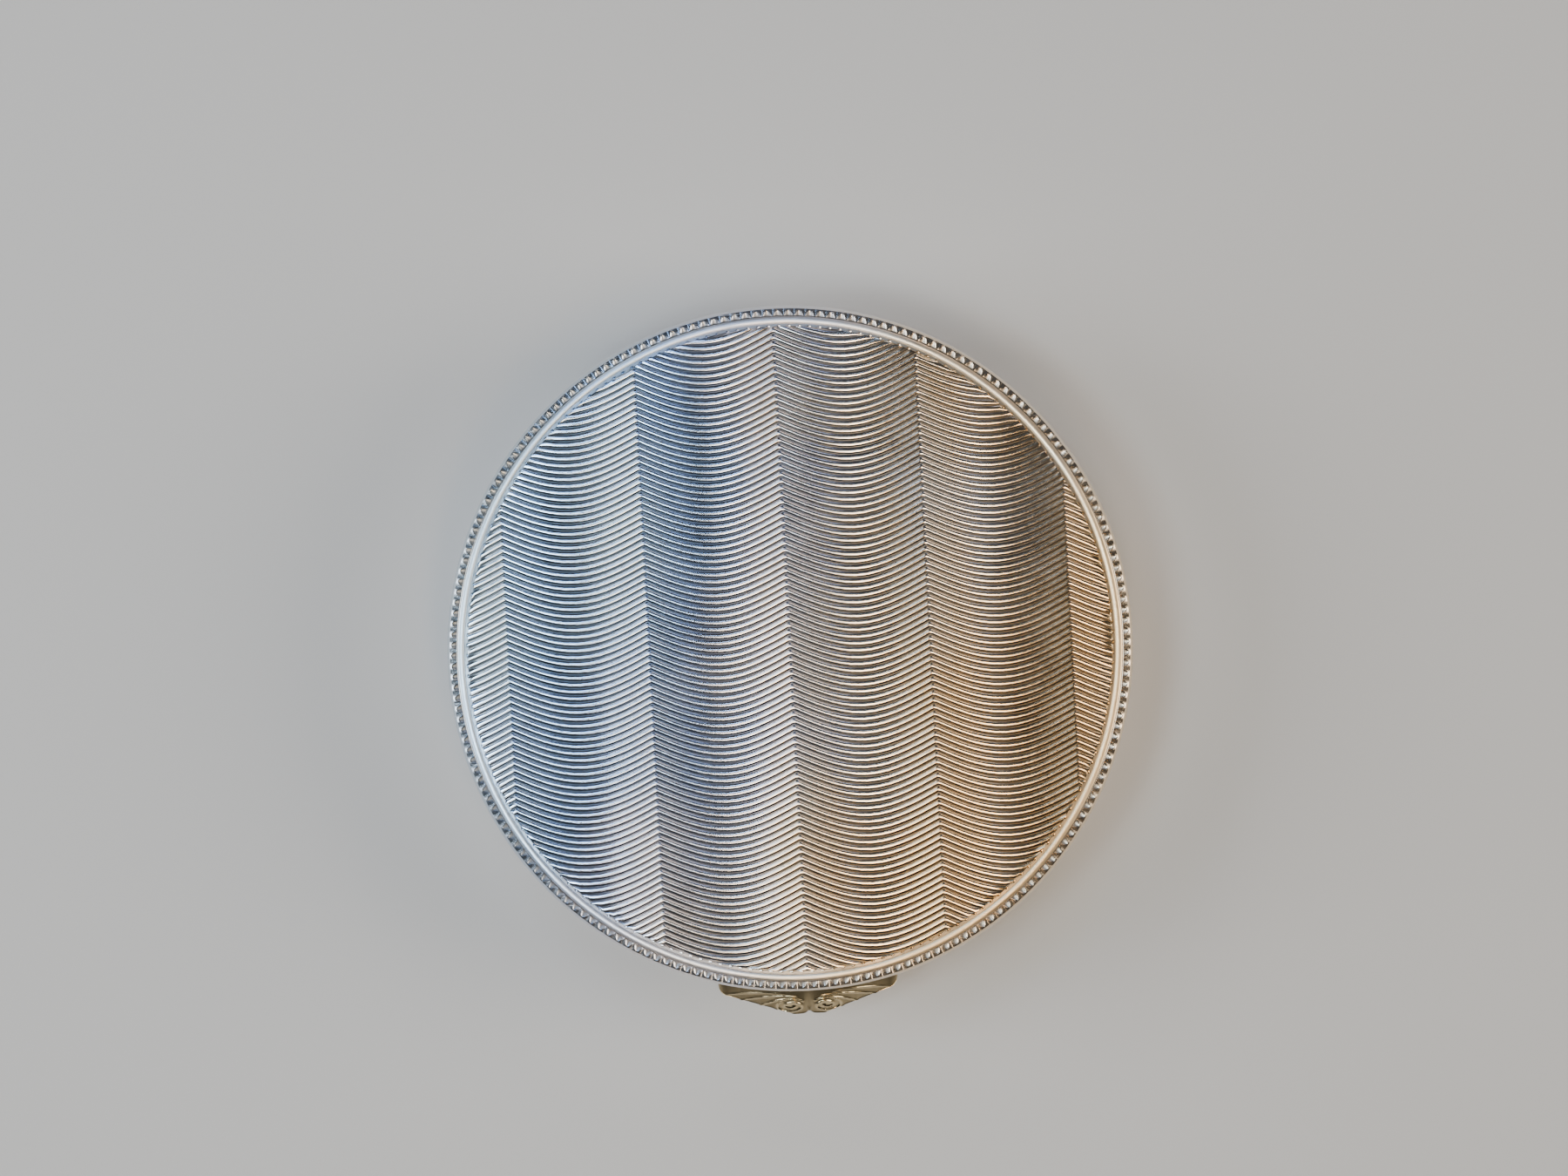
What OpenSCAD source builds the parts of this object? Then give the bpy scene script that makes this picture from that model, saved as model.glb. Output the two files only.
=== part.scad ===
// Round hinged pill box in sheet silver: two engraved plates set in moulded rims on plain wall bands,
// an inner bezel that the lid snaps over, a flush five-knuckle hinge and a scroll thumb-piece.
// Millimetres. The origin is the centre of the underside, +Z is up, the thumb-piece is
// towards -Y and the hinge is at the back, towards +Y, with its axis along X.

/* [Body] */
// Diameter over the two moulded rims
box_d = 50; // [46:1:56]
// Height of the closed box
box_h = 12; // [11.5:0.5:15]
// Height of the parting line between base and lid
part_z = 7.8; // [7:0.1:8]
// Thickness of the base wall
wall_t = 0.7; // [0.6:0.05:0.8]
// Radius of the rounded edge of each rim
roll_r = 0.7; // [0.6:0.05:0.8]
// How far each rim stands out from the wall
overhang = 0.4; // [0.3:0.05:0.5]

/* [Faces] */
// Thickness of the lid plate and of the base plate
plate_t = 0.6; // [0.5:0.05:0.7]
// Width of the flat of each rim, from the plate's edge out to the rounded edge
rim_w = 0.6; // [0.5:0.05:0.7]
// Width of the ledge that each plate is soldered to
ledge_w = 0.7; // [0.5:0.1:1]
// Thickness of that ledge
ledge_t = 0.4; // [0.3:0.05:0.5]

/* [Bezel] */
// Thickness of the bezel ring inside the base wall
bezel_t = 0.5; // [0.4:0.05:0.6]
// Height of the bezel above the parting line
bezel_rise = 1.2; // [1:0.1:1.5]
// Depth of the bezel below the parting line
bezel_drop = 2.4; // [1.8:0.1:3]
// Radius of the catch lug's ball surface
lug_r = 0.6; // [0.5:0.05:0.7]
// How far the catch lug stands out of the bezel
lug_out = 0.2; // [0.15:0.01:0.22]

/* [Hinge] */
// Length of the row of knuckles
hinge_len = 12; // [10:0.5:13]
// Outer diameter of the knuckles
knuckle_d = 1.8; // [1.6:0.1:2]
// Diameter of the hinge pin
pin_d = 0.9; // [0.8:0.05:1]
// How far the lid opens, in degrees, before the bevels behind the hinge meet
open_angle = 100; // [90:1:104]

/* [Thumb-piece] */
// Width of the thumb-piece
thumb_w = 13.2; // [11:0.1:14]
// How far its scrolls reach past the rims
thumb_reach = 1.9; // [1.6:0.1:2.2]
// Height of its upright front lip
thumb_lip = 0.5; // [0.4:0.1:0.6]

/* [Fits] */
// Gap between lid and base along the parting line
lid_gap = 0.05; // [0.03:0.01:0.08]
// Gap between the bezel and the lid wall
bezel_gap = 0.1; // [0.06:0.01:0.12]
// Radial gap between the pin and the lid knuckles
pin_gap = 0.03; // [0.02:0.01:0.05]
// Gap between neighbouring knuckles, and round them where the other half passes
knuckle_gap = 0.05; // [0.04:0.01:0.08]

/* [Hidden] */
$fn = 96;
big = 2 * box_d;

box_r = box_d / 2;
wall_r = box_r - overhang;
inner_r = wall_r - wall_t;
lid_inner_r = inner_r + bezel_gap;
moulding_r = box_r - roll_r;
plate_r = moulding_r - rim_w;
ledge_r = plate_r - ledge_w;
rim_h = 2 * roll_r;
lid_h = box_h - part_z - lid_gap;

// The outer two of the five knuckles, and the middle one, are on the base
knuckles = 5;
knuckle_r = knuckle_d / 2;
pin_r = pin_d / 2;
knuckle_pitch = hinge_len / knuckles;
// The barrel stays just inside the outline at the two ends of the hinge
barrel_inset = 0.07;
hinge_y = sqrt(box_r * box_r - hinge_len * hinge_len / 4) - knuckle_r - barrel_inset;
channel_end = 0.3;
channel_len = hinge_len + 2 * channel_end;
bearer_wall = 0.5;
bearer_y = hinge_y - knuckle_r - bearer_wall;
bearer_h = 2;
bearer_end_gap = 0.2;
pin_proud = 0.12;
pin_chamfer = 0.12;
knuckle_chamfer = 0.08;
// Each half is bevelled by half the opening angle, and a degree more
bevel_angle = open_angle / 2 + 1;
bevel_reach = 3;

lug_z = part_z + bezel_rise / 2;
lug_centre_r = inner_r + lug_out - lug_r;
dimple_gap = 0.1;

thumb_lift = 0.3;
thumb_bottom = part_z + thumb_lift;
thumb_gap = 0.02;
thumb_top = box_h - rim_h - thumb_gap;
// How far the slope starts outside the rim, and how far it ends short of the tip
thumb_ledge = 0.15;
thumb_nose = 0.1;
thumb_arch_h = 1.4;
thumb_round = 0.9;
// How far the side ears reach past the rim
thumb_ear = 0.35;
// How far each scroll's centre is from the middle
thumb_crown = 1;
thumb_notch = 0.2;
thumb_notch_depth = 0.3;
// How far the thumb-piece's blank starts inside the wall
root_in = 2;

// Knuckle i lies on the lid if i is odd
function knuckle_x(i) = (i - (knuckles - 1) / 2) * knuckle_pitch;

// A plain wall ring, standing on its open edge, for a half of height h
module band_ring(h, inside_r) {
    rotate_extrude()
        translate([inside_r, 0]) square([wall_r - inside_r, h - rim_h]);
}

// A rim for a half of height h: rounded edge outside, seat and ledge for the plate inside
module rim_ring(h, inside_r) {
    rotate_extrude() {
        translate([inside_r, h - rim_h]) square([wall_r - inside_r, roll_r]);
        translate([inside_r, h - rim_h]) square([moulding_r - inside_r, rim_h]);
        translate([plate_r, h - plate_t]) square([moulding_r - plate_r, plate_t]);
        translate([ledge_r, h - plate_t - ledge_t]) square([moulding_r - ledge_r, ledge_t]);
        translate([moulding_r, h - roll_r]) intersection() {
            circle(r = roll_r);
            translate([0, -roll_r]) square([roll_r, rim_h]);
        }
    }
}

// A cylinder along the hinge axis
module axis_rod(r, length, x = 0) {
    translate([x, hinge_y, part_z]) rotate([0, 90, 0]) cylinder(r = r, h = length, center = true);
}

// The wedge of space behind the axis that lets the lid swing back
module back_bevel() {
    rise = bevel_reach * tan(bevel_angle);
    translate([0, hinge_y, part_z]) rotate([90, 0, 90])
        linear_extrude(height = box_r, center = true)
            polygon([[0, 0], [bevel_reach, rise], [bevel_reach, -rise]]);
}

// The space that a wall gives up to the hinge
module hinge_notch() {
    back_bevel();
    axis_rod(knuckle_r + knuckle_gap, channel_len);
}

// A tube about the hinge axis, with its end edges broken
module knuckle(i, bore_r) {
    length = knuckle_pitch - knuckle_gap;
    half = length / 2;
    translate([knuckle_x(i), hinge_y, part_z]) rotate([0, 90, 0]) rotate_extrude()
        polygon([[bore_r, -half], [knuckle_r - knuckle_chamfer, -half], [knuckle_r, knuckle_chamfer - half],
                 [knuckle_r, half - knuckle_chamfer], [knuckle_r - knuckle_chamfer, half], [bore_r, half]]);
}

// The bar that carries one half's knuckles; own is 0 for even knuckles and 1 for odd ones
module hinge_bearer(z_low, z_high, outside_r, length, own) {
    difference() {
        intersection() {
            translate([-length / 2, bearer_y, z_low]) cube([length, box_r, z_high - z_low]);
            translate([0, 0, z_low - 1]) cylinder(r = outside_r, h = z_high - z_low + 2);
        }
        axis_rod(knuckle_r, big);
        for (i = [0 : knuckles - 1])
            if (i % 2 != own) axis_rod(knuckle_r + knuckle_gap, knuckle_pitch + knuckle_gap, knuckle_x(i));
        back_bevel();
    }
}

module base_plate() {
    color("silver") cylinder(r = plate_r, h = plate_t);
}

module base_rim() {
    color("silver") translate([0, 0, part_z]) mirror([0, 0, 1]) rim_ring(part_z, inner_r);
}

module base_band() {
    color("silver") difference() {
        translate([0, 0, part_z]) mirror([0, 0, 1]) band_ring(part_z, inner_r);
        hinge_notch();
    }
}

module bezel_ring() {
    color("gold") difference() {
        translate([0, 0, part_z - bezel_drop]) difference() {
            cylinder(r = inner_r, h = bezel_drop + bezel_rise);
            translate([0, 0, -1]) cylinder(r = inner_r - bezel_t, h = bezel_drop + bezel_rise + 2);
        }
        translate([-channel_len / 2, 0, 0]) cube([channel_len, box_d, box_h]);
    }
}

module catch_lug() {
    color("gold") difference() {
        translate([0, -lug_centre_r, lug_z]) sphere(r = lug_r);
        cylinder(r = inner_r, h = box_h);
    }
}

module base_hinge_bearer() {
    color("silver") hinge_bearer(part_z - bearer_h, part_z - lid_gap, inner_r, channel_len, 0);
}

module base_knuckle(i) {
    color("silver") knuckle(i, pin_r);
}

module hinge_pin() {
    half = hinge_len / 2 + pin_proud;
    color("gainsboro") translate([0, hinge_y, part_z]) rotate([0, 90, 0]) rotate_extrude()
        polygon([[0, -half], [pin_r - pin_chamfer, -half], [pin_r, pin_chamfer - half],
                 [pin_r, half - pin_chamfer], [pin_r - pin_chamfer, half], [0, half]]);
}

module lid_plate() {
    color("silver") translate([0, 0, box_h - plate_t]) cylinder(r = plate_r, h = plate_t);
}

module lid_rim() {
    color("silver") translate([0, 0, part_z + lid_gap]) rim_ring(lid_h, lid_inner_r);
}

module lid_band() {
    color("silver") difference() {
        translate([0, 0, part_z + lid_gap]) band_ring(lid_h, lid_inner_r);
        hinge_notch();
        translate([0, -lug_centre_r, lug_z]) sphere(r = lug_r + dimple_gap);
    }
}

module lid_hinge_bearer() {
    color("silver")
        hinge_bearer(part_z + lid_gap, part_z + bearer_h, lid_inner_r, channel_len - 2 * bearer_end_gap, 1);
}

module lid_knuckle(i) {
    color("silver") knuckle(i, pin_r + pin_gap);
}

// Points along an arc about c
function arc(c, r, from, to, steps = 8) =
    [for (i = [0 : steps]) let (a = from + (to - from) * i / steps) c + r * [cos(a), sin(a)]];

// The thumb-piece's plan, outwards along +Y: ears at the sides, then straight to two scrolls with a notch between
module thumb_plan() {
    half = thumb_w / 2;
    tip_y = box_r + thumb_reach;
    ear = [half - thumb_round, box_r + thumb_ear - thumb_round];
    scroll = [thumb_crown, tip_y - thumb_round];
    slope = 90 - atan2(scroll.y - ear.y, ear.x - scroll.x);
    notch_angle = 180 - asin(1 - thumb_notch / thumb_round);
    side = concat(arc(ear, thumb_round, 0, slope), arc(scroll, thumb_round, slope, notch_angle));
    other_side = [for (i = [len(side) - 1 : -1 : 0]) [-side[i].x, side[i].y]];
    root_y = wall_r - root_in;
    polygon(concat([[half, root_y]], side, [[0, tip_y - thumb_notch_depth]], other_side, [[-half, root_y]]));
}

// The thumb-piece's section, outwards along +X: a slope that falls to an upright lip, flat below
module thumb_section() {
    tip = box_r + thumb_reach;
    lip_z = thumb_bottom + thumb_lip;
    root_r = wall_r - root_in;
    polygon([[root_r, thumb_bottom], [tip, thumb_bottom], [tip, lip_z], [tip - thumb_nose, lip_z],
             [box_r + thumb_ledge, thumb_top], [root_r, thumb_top]]);
}

// The thumb-piece's front, a low arch that is highest in the middle
module thumb_arch() {
    half = thumb_w / 2;
    arch_r = (half * half + thumb_arch_h * thumb_arch_h) / (2 * thumb_arch_h);
    translate([0, 0, thumb_top - arch_r]) rotate([90, 0, 0]) cylinder(r = arch_r, h = big);
}

module thumb_piece() {
    color("silver") difference() {
        intersection() {
            mirror([0, 1, 0]) translate([0, 0, thumb_bottom]) linear_extrude(height = lid_h) thumb_plan();
            rotate([90, 0, -90]) linear_extrude(height = thumb_w + root_in, center = true) thumb_section();
            thumb_arch();
        }
        cylinder(r = wall_r, h = box_h);
    }
}

base_plate();
base_rim();
base_band();
bezel_ring();
catch_lug();
base_hinge_bearer();
base_knuckle(0);  // base_knuckle_left
base_knuckle(2);  // base_knuckle_centre
base_knuckle(4);  // base_knuckle_right
hinge_pin();
lid_plate();
lid_rim();
lid_band();
lid_hinge_bearer();
lid_knuckle(1);  // lid_knuckle_left
lid_knuckle(3);  // lid_knuckle_right
thumb_piece();
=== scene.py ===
import math

import bmesh
import bpy
from mathutils import Matrix, Vector
from mathutils.kdtree import KDTree


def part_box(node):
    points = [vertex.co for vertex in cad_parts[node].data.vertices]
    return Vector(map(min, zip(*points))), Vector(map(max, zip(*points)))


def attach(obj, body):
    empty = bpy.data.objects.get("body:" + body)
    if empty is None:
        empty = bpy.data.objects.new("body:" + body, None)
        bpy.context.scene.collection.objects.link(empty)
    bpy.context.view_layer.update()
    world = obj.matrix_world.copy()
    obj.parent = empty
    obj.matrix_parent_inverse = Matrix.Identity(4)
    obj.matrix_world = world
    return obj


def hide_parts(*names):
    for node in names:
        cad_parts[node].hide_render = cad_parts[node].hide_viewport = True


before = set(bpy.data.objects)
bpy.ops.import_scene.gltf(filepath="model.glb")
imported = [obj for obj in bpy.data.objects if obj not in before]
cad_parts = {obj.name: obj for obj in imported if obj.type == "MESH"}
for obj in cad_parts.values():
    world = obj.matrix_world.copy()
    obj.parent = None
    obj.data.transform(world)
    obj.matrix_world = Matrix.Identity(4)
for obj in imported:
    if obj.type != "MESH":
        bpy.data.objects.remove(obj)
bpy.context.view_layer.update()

MM = 0.001
TAU = 2 * math.pi

# The frame's own sizes, in millimetres
RIM_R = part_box("lid_rim")[1].x / MM
BOX_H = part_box("lid_rim")[1].z / MM
PLATE_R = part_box("lid_plate")[1].x / MM
PLATE_T = BOX_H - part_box("lid_plate")[0].z / MM
RIM_H = BOX_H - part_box("lid_rim")[0].z / MM
WALL_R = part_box("lid_band")[1].x / MM
THUMB_LOW, THUMB_HIGH = (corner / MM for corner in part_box("thumb_piece"))
# Inside radii of the lid's and the base's walls
LID_INSIDE_R = 24.0
BASE_INSIDE_R = 23.9

# Engine turning: rows of arches, each with a pointed cusp towards the hinge
ROW_PITCH = 0.5
WAVE_LENGTH = 10.26
WAVE_DEPTH = 1.6
FIELD_R = PLATE_R - 0.24
# One row's section: how far along the pitch, and how high
ROW_SECTION = ((0.0, -0.105), (0.15, -0.045), (0.32, -0.012), (0.58, 0.0), (0.84, -0.036))
COLUMNS_PER_WAVE = 22
# Part of a wave that the grid runs past the field
SPARE_WAVE = 0.1
# How much closer together the columns are at a cusp
CUSP_CROWDING = 0.7
# From the edge of the field out over the groove and round to the plate's back: radius and height
FIELD_LIP = -0.03
GROOVE_SECTION = ((FIELD_R + 0.03, -0.11), (PLATE_R - 0.03, -0.12), (PLATE_R - 0.01, -0.02), (PLATE_R, -0.05))
BACK_SECTION = ((PLATE_R, -PLATE_T), (PLATE_R - 0.4, -PLATE_T), (PLATE_R / 2, -PLATE_T))
# Depth at which painted shade starts to darken the engraving, and the depth below which it is plain again
SHADE_START = 0.02
SHADE_END = 0.2

# Nicks in the groove, one beside each cup
NICK_SIDES = 5
NICK_R = 0.12
NICK_TIP_R = 0.04
NICK_H = 0.12
NICK_STRETCH = (0.9, 1.6)
NICK_OFFSET = 0.05
NICK_DEPTH = 0.07

# Milled border: half-moon cups with their flat side towards the middle
CUPS = 198
CUP_INNER_R = 24.26
CUP_W = 0.45
CUP_D = 0.15
CUP_SPAN = 0.94
CUP_COLUMNS = (-1, -CUP_SPAN, -0.74, -0.4, 0, 0.4, 0.74, CUP_SPAN, 1)
CUP_ROWS = (0.0, 0.04, 0.38, 0.72, 1.0)
# The satin band between the plate and the incised line
SATIN_OUTER_R = 24.19
SATIN_CROWN = 0.06
SATIN_STEPS = (-1, -0.8, -0.5, 0, 0.5, 0.8, 1)
# The incised line and the channel for the milled wire
LINE_DEPTH = 0.12
WIRE_INNER_R = 24.235
WIRE_OUTER_R = 24.78
WIRE_DEPTH = 0.3
WIRE_CROWN = 0.45
WIRE_EDGE = 0.012
CHANNEL_DEPTH = WIRE_DEPTH + 0.02
# The rounded outer edge and the ledge that the plate sits on
ROLL_R = RIM_H / 2
ROLL_CENTRE_R = RIM_R - ROLL_R
ROLL_STEPS = 12
SEAT_R = PLATE_R + 0.005
LEDGE_R = PLATE_R - 0.7
LEDGE_H = 0.4
LEDGE_BREAK = 0.05

# Thumb-piece: its plan is two round ears, a scalloped slant and two scroll tips
EAR_R = 0.9
EAR_OUT = RIM_R + 0.35
SCROLL_X = 1.0
NOTCH_D = 0.16
NOTCH_W = 0.22
SCALLOP_PLACES = (2.45, 3.55, 4.95)
SCALLOP_H = 0.05
SCALLOP_W = 0.13
THUMB_ARCH = 1.4
THUMB_LIP_H = 0.5
THUMB_COLUMNS = 181
THUMB_FACE_ROWS = 56
# Its lip, below the chased face: how far in from the outline, and height above the underside
LIP_SECTION = ((0.02, 0.38), (0.0, 0.22), (0.06, 0.04), (0.16, 0.0))
VOLUTE_CENTRE = (1.3, 26.24)
VOLUTE_SIZE = (1.12, 0.54)
VOLUTE_TURNS = 1.55
VOLUTE_H = 0.17
LINE_W = 0.075
BORDER_H = 0.09
BORDER_W = 0.07
DOME_H = 0.10
DOME_SIZE = (0.8, 0.42)
VALLEY_D = 0.14
VALLEY_TIP_W = 0.14
VALLEY_TIP_R = 26.3
VALLEY_SPREAD = 0.3
# Height at which the chasing is free of painted shade, and how much painted shade the plain and the deepest
# places get
CLEAN_HEIGHT = 0.08
PLAIN_RECESS = 0.3
DEEPEST_RECESS = 0.85


# ---------------------------------------------------------------- mesh helpers

def grid(columns, rows, place):
    """A grid of columns x rows points, each moved to place(column, row)."""
    bm = bmesh.new()
    bmesh.ops.create_grid(bm, x_segments=columns - 1, y_segments=rows - 1, size=1)
    for index, vert in enumerate(bm.verts):
        row, column = divmod(index, columns)
        vert.co = place(column, row)
    return bm


def merge(bm, distance=0.0005):
    """Joins points that meet, and drops what that leaves without a face."""
    bmesh.ops.remove_doubles(bm, verts=bm.verts, dist=distance)
    bmesh.ops.dissolve_degenerate(bm, dist=distance / 10, edges=bm.edges)
    bmesh.ops.delete(bm, geom=[e for e in bm.edges if not e.link_faces], context="EDGES")
    bmesh.ops.delete(bm, geom=[v for v in bm.verts if not v.link_edges], context="VERTS")


def turn_copies(bm, count):
    """Repeats what is in the mesh until there are count copies round the Z axis."""
    bmesh.ops.spin(bm, geom=bm.verts[:] + bm.edges[:] + bm.faces[:], cent=(0, 0, 0), axis=(0, 0, 1),
                   angle=TAU * (count - 1) / count, steps=count - 1, use_duplicate=True)


def piece(bm, name, body, materials, stands_for=(), crease=32, pick=None):
    """Finishes a mesh made in millimetres: smooth, with its sharp edges kept, riding on a body."""
    bm.normal_update()
    bmesh.ops.recalc_face_normals(bm, faces=bm.faces)
    for face in bm.faces:
        face.smooth = True
        face.material_index = pick(face) if pick else 0
    for edge in bm.edges:
        if len(edge.link_faces) == 2:
            edge.smooth = edge.calc_face_angle() < math.radians(crease)
    bmesh.ops.transform(bm, matrix=Matrix.Scale(MM, 4), verts=bm.verts)
    mesh = bpy.data.meshes.new(name)
    bm.to_mesh(mesh)
    bm.free()
    for material in materials:
        mesh.materials.append(material)
    obj = bpy.data.objects.new(name, mesh)
    bpy.context.scene.collection.objects.link(obj)
    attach(obj, body)
    if stands_for:
        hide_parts(*stands_for)
    return obj


def write_recess(obj, recess_at):
    """Stores how deep each point lies, from 0 on top to 1 at the bottom, as the mask for painted shade."""
    layer = obj.data.attributes.new("recess", "FLOAT", "POINT")
    for vert, item in zip(obj.data.vertices, layer.data):
        item.value = min(1.0, max(0.0, recess_at(vert.co / MM)))


def to_underside(bm):
    """Turns a piece made for the top of the lid over onto the underside of the base."""
    for vert in bm.verts:
        vert.co.z = BOX_H - vert.co.z


def depth_in(z, underneath):
    """How deep a height lies below the lid's top, or above the base's underside."""
    return z if underneath else BOX_H - z


# ---------------------------------------------------------------- shader groups

def new_group(name, inputs, outputs):
    group = bpy.data.node_groups.new(name, "ShaderNodeTree")
    for label, kind, value in inputs:
        socket = group.interface.new_socket(label, in_out="INPUT", socket_type=kind)
        if value is not None:
            socket.default_value = value
    for label, kind in outputs:
        group.interface.new_socket(label, in_out="OUTPUT", socket_type=kind)
    start = group.nodes.new("NodeGroupInput")
    end = group.nodes.new("NodeGroupOutput")
    return group, start, end


def add(tree, kind, links=None, **settings):
    """A node with its settings, its links from sockets and its plain input values."""
    node = tree.nodes.new(kind)
    for key, value in settings.items():
        setattr(node, key, value)
    for key, value in (links or {}).items():
        if isinstance(value, bpy.types.NodeSocket):
            tree.links.new(value, node.inputs[key])
        else:
            node.inputs[key].default_value = value
    return node


def map_range(tree, value, low, high, to_low=0.0, to_high=1.0):
    return add(tree, "ShaderNodeMapRange", {0: value, 1: low, 2: high, 3: to_low, 4: to_high}).outputs[0]


def math_node(tree, operation, *values):
    return add(tree, "ShaderNodeMath", dict(enumerate(values)), operation=operation).outputs[0]


def scratches_group():
    """Fine wiping scratches in three directions, as a mask."""
    group, start, end = new_group(
        "fine_scratches",
        [("Place", "NodeSocketVector", None), ("Density", "NodeSocketFloat", 1.0)],
        [("Mask", "NodeSocketFloat")])
    total = None
    for angle, reach, fineness in ((18, 0.10, 5.0), (-47, 0.16, 7.0), (71, 0.07, 4.0)):
        turned = add(group, "ShaderNodeMapping", {
            "Vector": start.outputs["Place"], "Rotation": (0, 0, math.radians(angle)),
            "Scale": (reach, fineness, fineness)})
        noise = add(group, "ShaderNodeTexNoise", {
            "Vector": turned.outputs[0], "Scale": start.outputs["Density"], "Detail": 2.0, "Roughness": 0.6})
        line = map_range(group, noise.outputs["Fac"], 0.62, 0.72)
        total = line if total is None else math_node(group, "MAXIMUM", total, line)
    group.links.new(total, end.inputs["Mask"])
    return group


def grain_group():
    """The faint uneven skin of worked metal: cloudy patches and a fine tooth."""
    group, start, end = new_group(
        "metal_grain",
        [("Place", "NodeSocketVector", None), ("Cloud Size", "NodeSocketFloat", 0.25),
         ("Tooth Size", "NodeSocketFloat", 6.0)],
        [("Cloud", "NodeSocketFloat"), ("Tooth", "NodeSocketFloat")])
    cloud = add(group, "ShaderNodeTexNoise", {
        "Vector": start.outputs["Place"], "Scale": start.outputs["Cloud Size"],
        "Detail": 4.0, "Roughness": 0.55})
    tooth = add(group, "ShaderNodeTexNoise", {
        "Vector": start.outputs["Place"], "Scale": start.outputs["Tooth Size"],
        "Detail": 3.0, "Roughness": 0.6})
    group.links.new(cloud.outputs["Fac"], end.inputs["Cloud"])
    group.links.new(tooth.outputs["Fac"], end.inputs["Tooth"])
    return group


def painted_light_tint_group():
    """Painted light: a cool blue tint on one side and a golden one on the other, standing in for window light
    and a warm lamp, uneven between.
    """
    group, start, end = new_group(
        "painted_cool_warm_light",
        [("Place", "NodeSocketVector", None), ("Half Width", "NodeSocketFloat", 25.0),
         ("Base Tone", "NodeSocketColor", (0.9, 0.9, 0.9, 1)), ("Strength", "NodeSocketFloat", 1.0)],
        [("Color", "NodeSocketColor")])
    slant = 0.35
    wander = 0.28
    axes = add(group, "ShaderNodeSeparateXYZ", {0: start.outputs["Place"]})
    noise = add(group, "ShaderNodeTexNoise", {
        "Vector": start.outputs["Place"], "Scale": 0.07, "Detail": 3.0, "Roughness": 0.5})
    across = math_node(group, "DIVIDE", axes.outputs["X"], start.outputs["Half Width"])
    along = math_node(group, "DIVIDE", axes.outputs["Y"], start.outputs["Half Width"])
    slanted = math_node(group, "SUBTRACT", across, math_node(group, "MULTIPLY", along, slant))
    uneven = map_range(group, noise.outputs["Fac"], 0.3, 0.7, -wander, wander)
    place = map_range(group, math_node(group, "ADD", slanted, uneven), -1.0, 1.0)
    ramp = add(group, "ShaderNodeValToRGB", {0: place})
    ramp.color_ramp.interpolation = "B_SPLINE"
    # Painted light: blue for the side under cool light, gold for the side under warm light
    tones = ((0.0, (0.68, 0.86, 1.0)), (0.28, (0.44, 0.64, 0.98)), (0.45, (0.92, 0.88, 0.95)),
             (0.58, (1.0, 0.90, 0.76)), (0.76, (1.0, 0.71, 0.38)), (1.0, (0.98, 0.66, 0.30)))
    ramp.color_ramp.elements[0].position = tones[0][0]
    ramp.color_ramp.elements[1].position = tones[-1][0]
    for position, _ in tones[1:-1]:
        ramp.color_ramp.elements.new(position)
    for element, (_, tone) in zip(ramp.color_ramp.elements, tones):
        element.color = (*tone, 1)
    tinted = add(group, "ShaderNodeMix", {
        0: start.outputs["Strength"], 6: start.outputs["Base Tone"], 7: ramp.outputs["Color"]},
        data_type="RGBA", blend_type="MULTIPLY")
    group.links.new(tinted.outputs[2], end.inputs["Color"])
    return group


def recess_shade_group():
    """Paints shade into the low places and dulls them, with uneven edges."""
    group, start, end = new_group(
        "painted_shade_in_recesses",
        [("Color", "NodeSocketColor", (0.8, 0.8, 0.8, 1)),
         ("Dark Tone", "NodeSocketColor", (0.1, 0.08, 0.06, 1)),
         ("Recess", "NodeSocketFloat", 0.0), ("Cloud", "NodeSocketFloat", 0.5),
         ("Amount", "NodeSocketFloat", 0.7)],
        [("Color", "NodeSocketColor"), ("Mask", "NodeSocketFloat")])
    uneven = map_range(group, start.outputs["Cloud"], 0.3, 0.7, 0.65, 1.0)
    mask = math_node(group, "MULTIPLY", start.outputs["Recess"], uneven)
    mask = math_node(group, "MULTIPLY", mask, start.outputs["Amount"])
    darkened = add(group, "ShaderNodeMix", {
        0: mask, 6: start.outputs["Color"], 7: start.outputs["Dark Tone"]}, data_type="RGBA")
    group.links.new(darkened.outputs[2], end.inputs["Color"])
    group.links.new(mask, end.inputs["Mask"])
    return group


SCRATCHES = scratches_group()
GRAIN = grain_group()
PAINTED_LIGHT_TINT = painted_light_tint_group()
RECESS_SHADE = recess_shade_group()
# How much duller the recesses with painted shade are, and how the skin's tooth and the scratches raise the
# surface
RECESS_DULLING = 0.3
TOOTH_GAIN = 10
BUMP_STRENGTH = 0.35
BUMP_HEIGHT = 0.01


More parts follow.
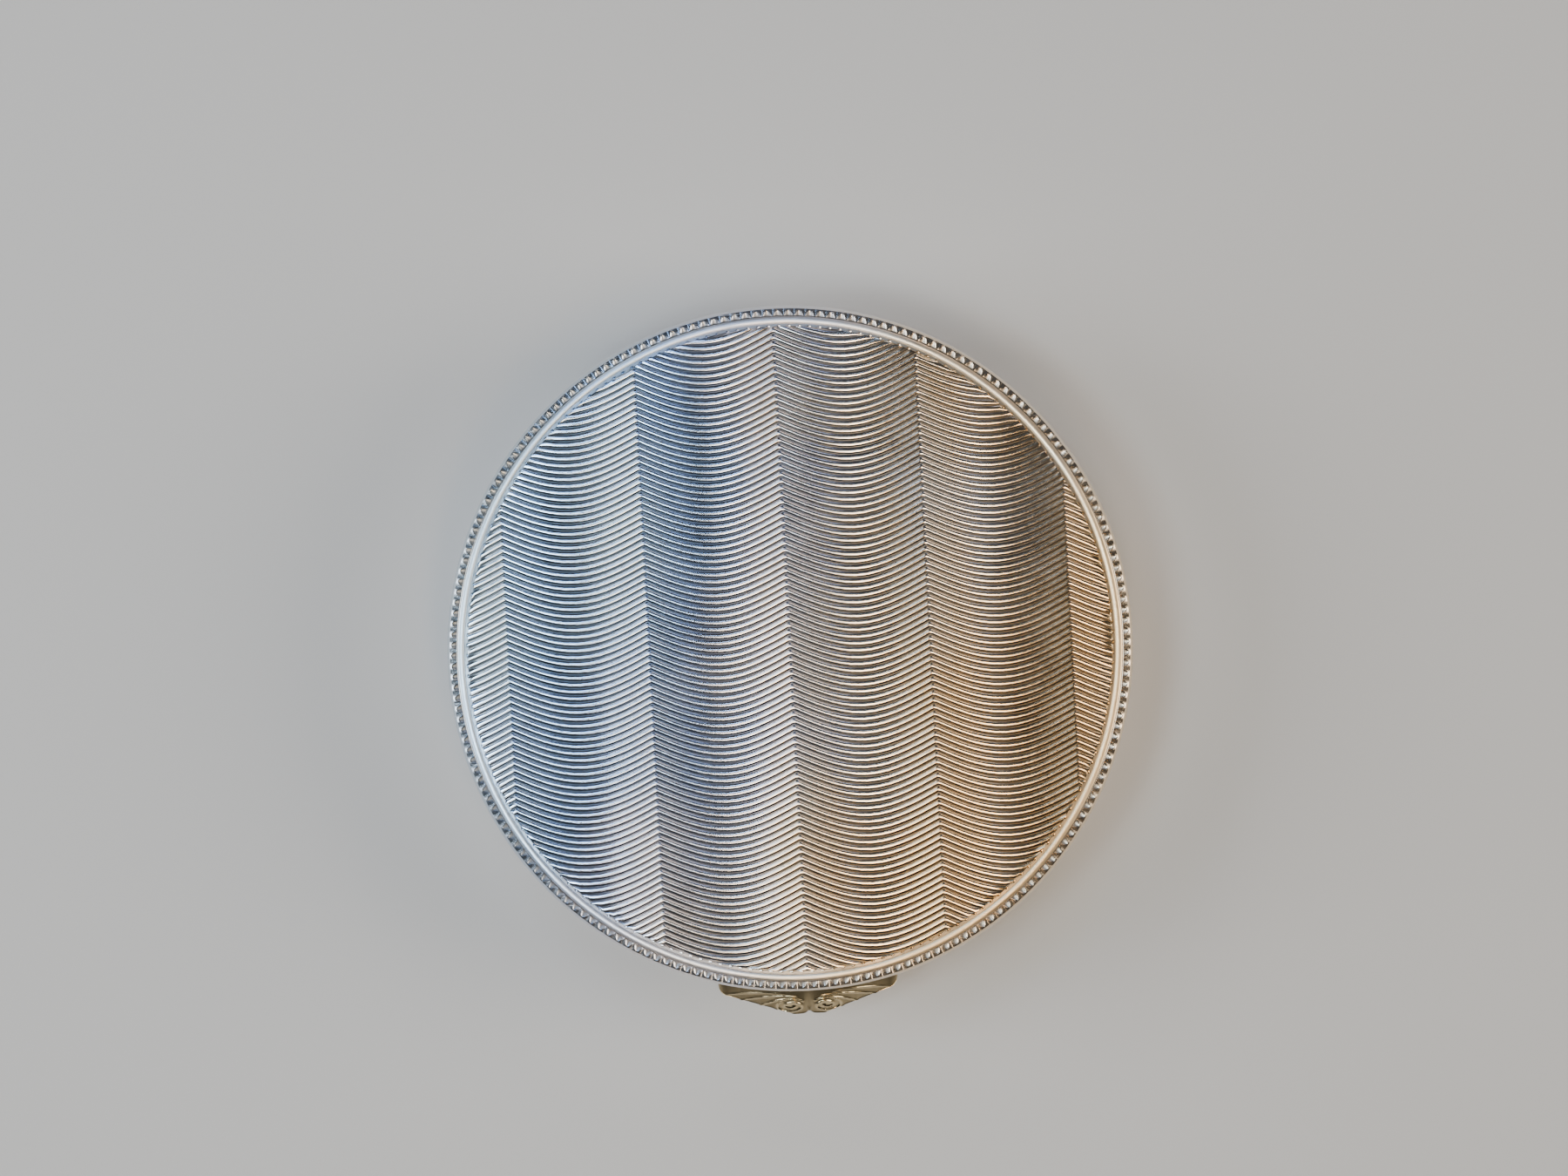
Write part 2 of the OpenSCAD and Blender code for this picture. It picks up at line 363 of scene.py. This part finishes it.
def metal(name, tone, rough, painted_light_tint=0.0, recess_shade=0.0, dark=(0.10, 0.075, 0.05), scratch=0.15, tooth=0.02,
          tooth_size=6.0, clouding=0.06, scratch_density=1.0):
    """A worked metal: its tone and gloss, how much painted cool and warm light and painted shade in its
    recesses it has, and its scratching and grain.
    """
    material = bpy.data.materials.new(name)
    material.use_nodes = True
    tree = material.node_tree
    tree.nodes.clear()
    output = tree.nodes.new("ShaderNodeOutputMaterial")
    shader = add(tree, "ShaderNodeBsdfPrincipled", {"Metallic": 1.0})
    tree.links.new(shader.outputs[0], output.inputs[0])
    coords = tree.nodes.new("ShaderNodeTexCoord")
    in_mm = add(tree, "ShaderNodeMapping", {"Vector": coords.outputs["Object"], "Scale": (1 / MM,) * 3})
    place = in_mm.outputs[0]
    grain = add(tree, "ShaderNodeGroup", {"Place": place, "Tooth Size": tooth_size}, node_tree=GRAIN)
    lines = add(tree, "ShaderNodeGroup", {"Place": place, "Density": scratch_density}, node_tree=SCRATCHES)

    gloss = map_range(tree, grain.outputs["Cloud"], 0.3, 0.7, rough - clouding / 2, rough + clouding / 2)
    if painted_light_tint or recess_shade:
        recess = add(tree, "ShaderNodeAttribute", attribute_name="recess")
        # A cool and a warm tint painted over the metal's tone as light
        light_tinted = add(tree, "ShaderNodeGroup", {"Place": place, "Base Tone": (*tone, 1), "Strength": painted_light_tint},
                    node_tree=PAINTED_LIGHT_TINT)
        # Painted shade: the recesses darkened towards the dark tone
        painted_shade = add(tree, "ShaderNodeGroup", {
            "Color": light_tinted.outputs["Color"], "Dark Tone": (*dark, 1), "Recess": recess.outputs["Fac"],
            "Cloud": grain.outputs["Cloud"], "Amount": recess_shade}, node_tree=RECESS_SHADE)
        tree.links.new(painted_shade.outputs["Color"], shader.inputs["Base Color"])
        gloss = math_node(tree, "MULTIPLY_ADD", painted_shade.outputs["Mask"], RECESS_DULLING, gloss)
    else:
        shader.inputs["Base Color"].default_value = (*tone, 1)
    gloss = math_node(tree, "MULTIPLY_ADD", lines.outputs["Mask"], scratch, gloss)
    tree.links.new(gloss, shader.inputs["Roughness"])

    skin = math_node(tree, "MULTIPLY", grain.outputs["Tooth"], tooth * TOOTH_GAIN)
    height = math_node(tree, "MULTIPLY_ADD", lines.outputs["Mask"], -scratch, skin)
    bump = add(tree, "ShaderNodeBump", {
        "Height": height, "Strength": BUMP_STRENGTH, "Distance": BUMP_HEIGHT * MM})
    tree.links.new(bump.outputs[0], shader.inputs["Normal"])
    return material


# Each finish gets a strength of painted cool and warm light and a strength of painted shade in its recesses.
ENGRAVED = metal("engraved_silver", (0.96, 0.96, 0.96), 0.17, painted_light_tint=0.85, recess_shade=0.75,
                 dark=(0.09, 0.085, 0.08), scratch=0.04, tooth=0.008)
MILLED = metal("milled_silver", (0.93, 0.92, 0.91), 0.20, painted_light_tint=0.6, recess_shade=0.95, scratch=0.10)
RIM_SATIN = metal("rim_satin_silver", (0.95, 0.94, 0.92), 0.36, painted_light_tint=0.8, scratch=0.10, tooth=0.04,
                  clouding=0.10)
POLISHED = metal("polished_silver", (0.93, 0.92, 0.90), 0.13, painted_light_tint=0.25, scratch=0.16, clouding=0.08)
# Its dull golden-brown tone is painted reflection and shade of its sloping face
CHASED_PAINTED_WARM = metal("chased_silver_painted_warm_shade", (0.74, 0.60, 0.36), 0.20, painted_light_tint=0.1, recess_shade=0.95, dark=(0.20, 0.15, 0.08),
               scratch=0.05, tooth=0.05, tooth_size=9.0)
SATIN = metal("satin_silver", (0.88, 0.87, 0.85), 0.30, painted_light_tint=0.1, scratch=0.22, scratch_density=2.0)
GILT = metal("gilt_silver", (0.98, 0.77, 0.40), 0.24, scratch=0.06, clouding=0.08, tooth=0.03,
             scratch_density=2.0)
PIN_WIRE = metal("pin_wire", (0.72, 0.70, 0.66), 0.28, scratch=0.2, scratch_density=3.0)


# ---------------------------------------------------------------- engine-turned plates

def wave_x(position):
    """x of a column; position counts waves from the middle, and columns crowd at the cusps."""
    whole = math.floor(position)
    part = position - whole
    return WAVE_LENGTH * (whole + part - CUSP_CROWDING * math.sin(TAU * part) / TAU)


def engraved_field():
    """The rows of arches, cut to a disc with its edge pressed down."""
    columns_each_side = math.ceil(COLUMNS_PER_WAVE * (FIELD_R / WAVE_LENGTH + SPARE_WAVE))
    first_row = -math.ceil(FIELD_R / ROW_PITCH)
    row_count = math.ceil((2 * FIELD_R + WAVE_DEPTH) / ROW_PITCH) + 2

    def place(column, line):
        x = wave_x((column - columns_each_side) / COLUMNS_PER_WAVE)
        row, step = divmod(line, len(ROW_SECTION))
        share, height = ROW_SECTION[step]
        y = (first_row + row + share) * ROW_PITCH
        y -= WAVE_DEPTH * abs(math.sin(math.pi * x / WAVE_LENGTH))
        return Vector((x, y, BOX_H + height))

    bm = grid(2 * columns_each_side + 1, row_count * len(ROW_SECTION) + 1, place)
    beyond = {v for v in bm.verts if math.hypot(v.co.x, v.co.y) > FIELD_R}
    bmesh.ops.delete(bm, geom=[f for f in bm.faces if beyond.issuperset(f.verts)], context="FACES")
    bmesh.ops.delete(bm, geom=[v for v in bm.verts if not v.link_faces], context="VERTS")
    for vert in bm.verts:
        radius = math.hypot(vert.co.x, vert.co.y)
        if radius > FIELD_R:
            vert.co.x *= FIELD_R / radius
            vert.co.y *= FIELD_R / radius
            vert.co.z = BOX_H + FIELD_LIP
    merge(bm, 0.004)
    return bm


def engraved_plate(name, body, node, underneath):
    """A plate with rows of arches, a groove round them and a plain gilt back."""
    bm = engraved_field()
    for radius, z in GROOVE_SECTION + BACK_SECTION:
        edge = [e for e in bm.edges if e.is_boundary]
        made = bmesh.ops.extrude_edge_only(bm, edges=edge)["geom"]
        for vert in (g for g in made if isinstance(g, bmesh.types.BMVert)):
            scale = radius / math.hypot(vert.co.x, vert.co.y)
            vert.co = Vector((vert.co.x * scale, vert.co.y * scale, BOX_H + z))
    bmesh.ops.contextual_create(bm, geom=[e for e in bm.edges if e.is_boundary])
    if underneath:
        to_underside(bm)

    def pick(face):
        return int(depth_in(face.calc_center_median().z, underneath) > PLATE_T - 0.01)

    def recess_at(co):
        # Painted shade in the engraving's grooves and in the groove round the field
        depth = depth_in(co.z, underneath)
        deepest = -min(height for _, height in ROW_SECTION)
        return (depth - SHADE_START) / (deepest - SHADE_START) if depth < SHADE_END else 0

    obj = piece(bm, name, body, [ENGRAVED, GILT], [node], pick=pick)
    write_recess(obj, recess_at)


def nick_ring(name, body, underneath):
    """The row of small nicks cut round the edge of the field, one beside each cup."""
    bm = bmesh.new()
    bmesh.ops.create_cone(bm, cap_ends=True, segments=NICK_SIDES, radius1=NICK_R, radius2=NICK_TIP_R,
                          depth=NICK_H)
    for vert in bm.verts:
        vert.co = Vector((FIELD_R + NICK_OFFSET + vert.co.x * NICK_STRETCH[0], vert.co.y * NICK_STRETCH[1],
                          BOX_H - NICK_DEPTH + vert.co.z))
    turn_copies(bm, CUPS)
    if underneath:
        to_underside(bm)
    obj = piece(bm, name, body, [ENGRAVED], crease=50)
    # Painted shade in the nicks, darker where they are deeper
    write_recess(obj, lambda co: 4 * (depth_in(co.z, underneath) - 0.06))


# ---------------------------------------------------------------- rims

def roll_z(radius):
    """Height of the rim's rounded edge at a radius, from its top."""
    if radius <= ROLL_CENTRE_R:
        return 0.0
    return math.sqrt(max(0.0, ROLL_R ** 2 - (radius - ROLL_CENTRE_R) ** 2)) - ROLL_R


def wire_z(radius):
    """Height of the milled wire's top, flatter than the rounded edge it lies in."""
    return WIRE_CROWN * roll_z(radius)


def roll_point(angle):
    return (ROLL_CENTRE_R + ROLL_R * math.cos(math.radians(angle)),
            ROLL_R * (math.sin(math.radians(angle)) - 1))


def rim_section(inside_r):
    """The rim's outline from the plate's seat outwards and back: radius and height from its top."""
    flat_r = (SEAT_R + SATIN_OUTER_R) / 2
    half_w = (SATIN_OUTER_R - SEAT_R) / 2
    satin = [(flat_r + half_w * share, -SATIN_CROWN * share ** 2) for share in SATIN_STEPS]
    channel = [(SATIN_OUTER_R + 0.01, -LINE_DEPTH), (WIRE_INNER_R - 0.02, -LINE_DEPTH), (WIRE_INNER_R, -0.03),
               (WIRE_INNER_R, -CHANNEL_DEPTH), (WIRE_OUTER_R, -CHANNEL_DEPTH),
               (WIRE_OUTER_R, roll_z(WIRE_OUTER_R))]
    first = math.degrees(math.acos((WIRE_OUTER_R - ROLL_CENTRE_R) / ROLL_R))
    last = -math.degrees(math.acos((WALL_R - ROLL_CENTRE_R) / ROLL_R))
    roll = [roll_point(first + (last - first) * i / ROLL_STEPS) for i in range(1, ROLL_STEPS + 1)]
    ledge_z = -PLATE_T - LEDGE_H
    ledge = [(inside_r, ledge_z), (LEDGE_R + LEDGE_BREAK, ledge_z), (LEDGE_R, ledge_z + LEDGE_BREAK),
             (LEDGE_R, -PLATE_T - LEDGE_BREAK), (LEDGE_R + LEDGE_BREAK, -PLATE_T)]
    return [(SEAT_R, -PLATE_T), *satin, *channel, *roll, (WALL_R, -RIM_H), (inside_r, -RIM_H), *ledge]


def rim(name, body, node, inside_r, underneath):
    """A turned rim: satin band, incised line, channel for the milled wire, rounded edge, ledge below."""
    bm = bmesh.new()
    verts = [bm.verts.new((r, 0, BOX_H + z)) for r, z in rim_section(inside_r)]
    edges = [bm.edges.new((a, b)) for a, b in zip(verts, verts[1:] + verts[:1])]
    bmesh.ops.spin(bm, geom=verts + edges, cent=(0, 0, 0), axis=(0, 0, 1), angle=TAU, steps=CUPS,
                   use_merge=True, use_duplicate=False)
    merge(bm)
    if underneath:
        to_underside(bm)

    def pick(face):
        """0 is the milled finish, 1 the gilding and 2 the satin."""
        middle = face.calc_center_median()
        radius = math.hypot(middle.x, middle.y)
        depth = depth_in(middle.z, underneath)
        if radius < inside_r + 0.01 and depth > PLATE_T - 0.01:
            return 1
        return 2 if radius < SATIN_OUTER_R and depth < 2 * SATIN_CROWN else 0

    def recess_at(co):
        # Painted shade in the incised line
        in_line = SATIN_OUTER_R < math.hypot(co.x, co.y) < WIRE_INNER_R - 0.01
        return in_line and depth_in(co.z, underneath) < WIRE_DEPTH

    obj = piece(bm, name, body, [MILLED, GILT, RIM_SATIN], [node], pick=pick)
    write_recess(obj, recess_at)


def milled_wire(name, body, underneath):
    """The ring of half-moon cups: one cup's sector, turned round the rim."""
    half_angle = math.pi / CUPS

    def cup_point(share, fullness):
        radius = CUP_INNER_R + share * CUP_W * fullness
        z = wire_z(radius)
        if 0 < share < 1:
            z -= CUP_D * fullness ** 0.6 * (1 - share) ** 0.7
        return radius, z

    def place(column, row):
        across = CUP_COLUMNS[column]
        fullness = max(0.0, 1 - (across / CUP_SPAN) ** 2)
        inner = [(WIRE_INNER_R, -WIRE_DEPTH), (WIRE_INNER_R, -WIRE_EDGE)]
        outer = [(WIRE_OUTER_R, wire_z(WIRE_OUTER_R)), (WIRE_OUTER_R, -WIRE_DEPTH)]
        section = inner + [cup_point(share, fullness) for share in CUP_ROWS] + outer
        radius, z = section[row]
        angle = half_angle * across
        return Vector((radius * math.cos(angle), radius * math.sin(angle), BOX_H + z))

    bm = grid(len(CUP_COLUMNS), len(CUP_ROWS) + 4, place)
    # The underside of the sector, between its two long edges
    low = [e for e in bm.edges if all(abs(v.co.z - (BOX_H - WIRE_DEPTH)) < 1e-4 for v in e.verts)]
    bmesh.ops.bridge_loops(bm, edges=low)
    turn_copies(bm, CUPS)
    merge(bm, 0.002)
    if underneath:
        to_underside(bm)
    obj = piece(bm, name, body, [MILLED], crease=24)
    # Painted shade in the cups, darker where they are deeper
    write_recess(obj, lambda co: 8 * (depth_in(co.z, underneath) + wire_z(math.hypot(co.x, co.y)) - 0.02))


# ---------------------------------------------------------------- thumb-piece

def curve_points(start, bend, end, height, steps=60):
    """Points along a bent line, highest in its first third and fading to its end."""
    points = []
    for i in range(steps + 1):
        t = i / steps
        x = (1 - t) ** 2 * start[0] + 2 * t * (1 - t) * bend[0] + t ** 2 * end[0]
        y = (1 - t) ** 2 * start[1] + 2 * t * (1 - t) * bend[1] + t ** 2 * end[1]
        points.append((x, y, height * (0.35 + 0.65 * math.sin(math.pi * (0.15 + 0.75 * t)))))
    return points


def volute_points(centre, size, turns, height, steps=160):
    """A scroll that winds inwards from its outer top edge."""
    points = []
    for i in range(steps + 1):
        t = i / steps
        shrink = 1 - 0.80 * t
        angle = math.pi * 0.72 + TAU * turns * t
        points.append((centre[0] - size[0] * shrink * math.cos(angle),
                       centre[1] - size[1] * shrink * math.sin(angle), height * (1 - 0.35 * t)))
    return points


def thumb_lines():
    """All raised lines of the chasing, for the right half, as a search tree and their heights."""
    lines = volute_points(VOLUTE_CENTRE, VOLUTE_SIZE, VOLUTE_TURNS, VOLUTE_H)
    lines += curve_points((0.45, 25.85), (1.6, 25.35), (3.5, 26.10), 0.15)
    lines += curve_points((0.9, 25.52), (3.0, 25.25), (4.9, 25.66), 0.13)
    lines += curve_points((1.8, 25.25), (4.2, 24.95), (6.2, 25.20), 0.11)
    tree = KDTree(len(lines))
    for index, (x, y, _) in enumerate(lines):
        tree.insert((x, y, 0), index)
    tree.balance()
    return tree, [height for _, _, height in lines]


def thumb_edge(x):
    """How far out the thumb-piece's outline is at x: round ears, a slant and two scroll tips."""
    x = abs(x)
    tip = -THUMB_LOW.y
    ear = (THUMB_HIGH.x - EAR_R, EAR_OUT - EAR_R)
    scroll = (SCROLL_X, tip - EAR_R)
    slope = math.atan2(scroll[1] - ear[1], ear[0] - scroll[0])
    from_ear = ear[0] + EAR_R * math.sin(slope)
    from_scroll = scroll[0] + EAR_R * math.sin(slope)
    if x > from_ear:
        return ear[1] + math.sqrt(max(0.0, EAR_R ** 2 - (x - ear[0]) ** 2))
    if x > from_scroll:
        top = ear[1] + EAR_R * math.cos(slope)
        scallops = sum(SCALLOP_H * math.exp(-((x - place) / SCALLOP_W) ** 2) for place in SCALLOP_PLACES)
        return top + (from_ear - x) * math.tan(slope) + scallops - 0.02
    if x > scroll[0]:
        return scroll[1] + math.sqrt(EAR_R ** 2 - (x - scroll[0]) ** 2)
    return tip - 0.06 * (SCROLL_X - x) ** 2 - NOTCH_D * math.exp(-(x / NOTCH_W) ** 2)


def thumb_piece():
    """A cast block that slopes down from under the rim, with raised scrolls and leaf lines."""
    tree, heights = thumb_lines()
    low = THUMB_LOW.z
    half = THUMB_HIGH.x
    lip = low + THUMB_LIP_H
    recess_of = {}

    def face_point(x, share, wall, edge):
        """A point of the chased face, and how deep it lies in the chasing."""
        top = THUMB_HIGH.z - THUMB_ARCH * (x / half) ** 2
        y = wall + (edge - 0.03 - wall) * share
        shoulder = (math.sqrt(RIM_R ** 2 - x * x) - 0.12 - wall) / (edge - wall)
        fall = max(0.0, (share - shoulder) / (1 - shoulder))
        z = top - (top - lip) * (0.75 * fall + 0.25 * fall ** 2)
        _, index, distance = tree.find((abs(x), y, 0))
        raised = heights[index] * math.exp(-(distance / LINE_W) ** 2)
        border = BORDER_H * math.exp(-((edge - y) / BORDER_W) ** 2)
        dome = DOME_H * math.exp(-(((abs(x) - VOLUTE_CENTRE[0]) / DOME_SIZE[0]) ** 2
                                   + ((y - VOLUTE_CENTRE[1]) / DOME_SIZE[1]) ** 2))
        valley_w = VALLEY_TIP_W + VALLEY_SPREAD * max(0.0, VALLEY_TIP_R - y)
        valley = VALLEY_D * math.exp(-(x / valley_w) ** 2) * fall
        lift = (max(raised, border) + dome - valley) * min(1.0, fall * 6)
        # Painted shade, lighter where the chasing stands up
        recess = DEEPEST_RECESS * (1 - min(1.0, max(raised, border, dome) / CLEAN_HEIGHT))
        return Vector((x, -y, z + lift)), recess

    def place(column, row):
        x = half * (2 * column / (THUMB_COLUMNS - 1) - 1)
        wall = math.sqrt(WALL_R ** 2 - x * x) - 0.02
        edge = max(thumb_edge(x), wall + 0.05)
        if row == 0:
            return Vector((x, -wall, low))
        if row > THUMB_FACE_ROWS:
            inwards, rise = LIP_SECTION[row - THUMB_FACE_ROWS - 1]
            return Vector((x, inwards - edge, low + rise))
        point, recess_of[(column, row)] = face_point(x, (row - 1) / (THUMB_FACE_ROWS - 1), wall, edge)
        return point

    bm = grid(THUMB_COLUMNS, 1 + THUMB_FACE_ROWS + len(LIP_SECTION), place)
    layer = bm.verts.layers.float.new("recess")
    for index, vert in enumerate(bm.verts):
        row, column = divmod(index, THUMB_COLUMNS)
        vert[layer] = recess_of.get((column, row), PLAIN_RECESS)
    # The underside and the two cheeks
    level = [e for e in bm.edges if e.is_boundary and all(abs(v.co.z - low) < 1e-5 for v in e.verts)]
    bmesh.ops.bridge_loops(bm, edges=[e for e in level if abs(e.verts[0].co.x - e.verts[1].co.x) > 1e-6])
    bmesh.ops.holes_fill(bm, edges=[e for e in bm.edges if e.is_boundary], sides=0)
    merge(bm, 0.001)
    piece(bm, "chased_thumb_piece", "lid", [CHASED_PAINTED_WARM], ["thumb_piece"], crease=50)


# ---------------------------------------------------------------- bench-finished parts

def finished_copy(node, name, body, materials, edge_round, pick=None):
    """The part itself with its facets joined into smooth faces and its edges broken."""
    joined = 0.0008
    flat_angle = math.radians(0.5)
    sharp_angle = math.radians(35)
    bm = bmesh.new()
    bm.from_mesh(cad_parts[node].data)
    bmesh.ops.transform(bm, matrix=Matrix.Scale(1 / MM, 4), verts=bm.verts)
    bmesh.ops.remove_doubles(bm, verts=bm.verts, dist=joined)
    bmesh.ops.dissolve_limit(bm, angle_limit=flat_angle, verts=bm.verts, edges=bm.edges)
    bmesh.ops.recalc_face_normals(bm, faces=bm.faces)
    sharp = [e for e in bm.edges if len(e.link_faces) == 2 and e.calc_face_angle() > sharp_angle]
    if edge_round:
        bmesh.ops.bevel(bm, geom=sharp, offset=edge_round, offset_type="OFFSET", affect="EDGES", segments=2,
                        profile=0.5, material=-1, clamp_overlap=True)
    piece(bm, name, body, materials, [node], crease=30, pick=pick)


def gilt_inside(radius):
    """Picks the second finish for faces nearer the middle than a radius."""
    def pick(face):
        middle = face.calc_center_median()
        return int(math.hypot(middle.x, middle.y) < radius)
    return pick


engraved_plate("engraved_lid_plate", "lid", "lid_plate", underneath=False)
engraved_plate("engraved_base_plate", "base", "base_plate", underneath=True)
nick_ring("lid_nicks", "lid", underneath=False)
nick_ring("base_nicks", "base", underneath=True)
rim("turned_lid_rim", "lid", "lid_rim", LID_INSIDE_R, underneath=False)
rim("turned_base_rim", "base", "base_rim", BASE_INSIDE_R, underneath=True)
milled_wire("lid_milled_wire", "lid", underneath=False)
milled_wire("base_milled_wire", "base", underneath=True)
thumb_piece()

finished_copy("lid_band", "lid_wall", "lid", [POLISHED, GILT], 0.03,
              gilt_inside(LID_INSIDE_R + 0.1))
finished_copy("base_band", "base_wall", "base", [POLISHED, GILT], 0.03,
              gilt_inside(BASE_INSIDE_R + 0.1))
finished_copy("bezel_ring", "gilt_bezel", "base", [GILT], 0.10)
finished_copy("catch_lug", "gilt_catch", "base", [GILT], 0)
for bearer, rides_on in (("base_hinge_bearer", "base"), ("lid_hinge_bearer", "lid")):
    finished_copy(bearer, "filed_" + bearer, rides_on, [SATIN], 0.02)
for knuckle, rides_on in (("base_knuckle_left", "base"), ("base_knuckle_centre", "base"),
                          ("base_knuckle_right", "base"), ("lid_knuckle_left", "lid"),
                          ("lid_knuckle_right", "lid")):
    finished_copy(knuckle, "filed_" + knuckle, rides_on, [SATIN], 0)
finished_copy("hinge_pin", "drawn_hinge_pin", "base", [PIN_WIRE], 0)


# ---------------------------------------------------------------- floor, light and camera

def floor():
    """A plain pale sheet under the box, three metres square."""
    bm = bmesh.new()
    bmesh.ops.create_grid(bm, x_segments=1, y_segments=1, size=1.5)
    mesh = bpy.data.meshes.new("floor")
    bm.to_mesh(mesh)
    bm.free()
    material = bpy.data.materials.new("pale_floor")
    material.use_nodes = True
    shader = material.node_tree.nodes["Principled BSDF"]
    shader.inputs["Base Color"].default_value = (0.62, 0.61, 0.60, 1)
    shader.inputs["Roughness"].default_value = 0.7
    mesh.materials.append(material)
    obj = bpy.data.objects.new("floor", mesh)
    bpy.context.scene.collection.objects.link(obj)


def softbox(name, place, width, height, power, tint):
    """A soft lamp aimed at the middle of the box."""
    lamp = bpy.data.lights.new(name, "AREA")
    lamp.shape = "RECTANGLE"
    lamp.size = width
    lamp.size_y = height
    lamp.energy = power
    lamp.color = tint
    obj = bpy.data.objects.new(name, lamp)
    obj.location = place
    obj.rotation_euler = (-Vector(place)).to_track_quat("-Z", "Y").to_euler()
    obj.visible_camera = False
    bpy.context.scene.collection.objects.link(obj)


def room(brightness):
    world = bpy.data.worlds.new("room")
    world.use_nodes = True
    background = world.node_tree.nodes["Background"]
    background.inputs[0].default_value = (0.80, 0.86, 0.95, 1)
    background.inputs[1].default_value = brightness
    bpy.context.scene.world = world


def camera():
    """Straight above the lid, turned a little, with the box just below the middle of the frame."""
    turn = math.radians(-3.05)
    height = 0.34
    share_of_width = 0.43811
    # Millimetres from the lid's middle, towards the hinge and to the left
    forward = 4.42
    left = 0.45
    lens = bpy.data.cameras.new("camera")
    lens.sensor_width = 36
    lens.lens = share_of_width * lens.sensor_width * height / (2 * RIM_R * MM)
    lens.clip_start = 0.01
    obj = bpy.data.objects.new("camera", lens)
    up = Vector((-math.sin(turn), math.cos(turn), 0))
    right = Vector((math.cos(turn), math.sin(turn), 0))
    obj.location = up * forward * MM - right * left * MM + Vector((0, 0, height + BOX_H * MM))
    obj.rotation_euler = (0, 0, turn)
    bpy.context.scene.collection.objects.link(obj)
    bpy.context.scene.camera = obj


floor()
room(0.035)
# Small lamps near the camera's line of sight, which the engraved rows throw into bands.
# The places of cool_left, amber_front and the four back lamps came from a fitting program.
softbox("cool_left", (-0.055, -0.018, 0.22), 0.045, 0.045, 0.135, (0.78, 0.92, 1.0))
softbox("key_front", (0.010, -0.030, 0.22), 0.022, 0.034, 0.030, (1.0, 0.92, 0.82))
softbox("amber_front", (0.018, -0.055, 0.22), 0.030, 0.030, 0.034, (1.0, 0.60, 0.22))
softbox("warm_front", (0.008, -0.095, 0.22), 0.030, 0.050, 0.035, (1.0, 0.84, 0.66))
softbox("blue_back", (-0.037, 0.073, 0.22), 0.045, 0.045, 0.045, (0.47, 0.68, 1.0))
softbox("warm_back_left", (-0.128, 0.238, 0.22), 0.060, 0.060, 0.058, (1.0, 0.93, 0.88))
softbox("warm_back_right", (0.128, 0.238, 0.22), 0.060, 0.060, 0.046, (1.0, 0.82, 0.66))
softbox("blue_far_back", (0.140, 0.490, 0.42), 0.090, 0.090, 0.070, (0.47, 0.61, 1.0))
# Large lamps low at the two sides, for the floor, the rims and the walls
softbox("side_left", (-0.36, 0.02, 0.20), 0.20, 0.34, 1.25, (0.92, 0.96, 1.0))
softbox("side_right", (0.36, -0.02, 0.20), 0.20, 0.34, 1.25, (1.0, 0.92, 0.80))
camera()
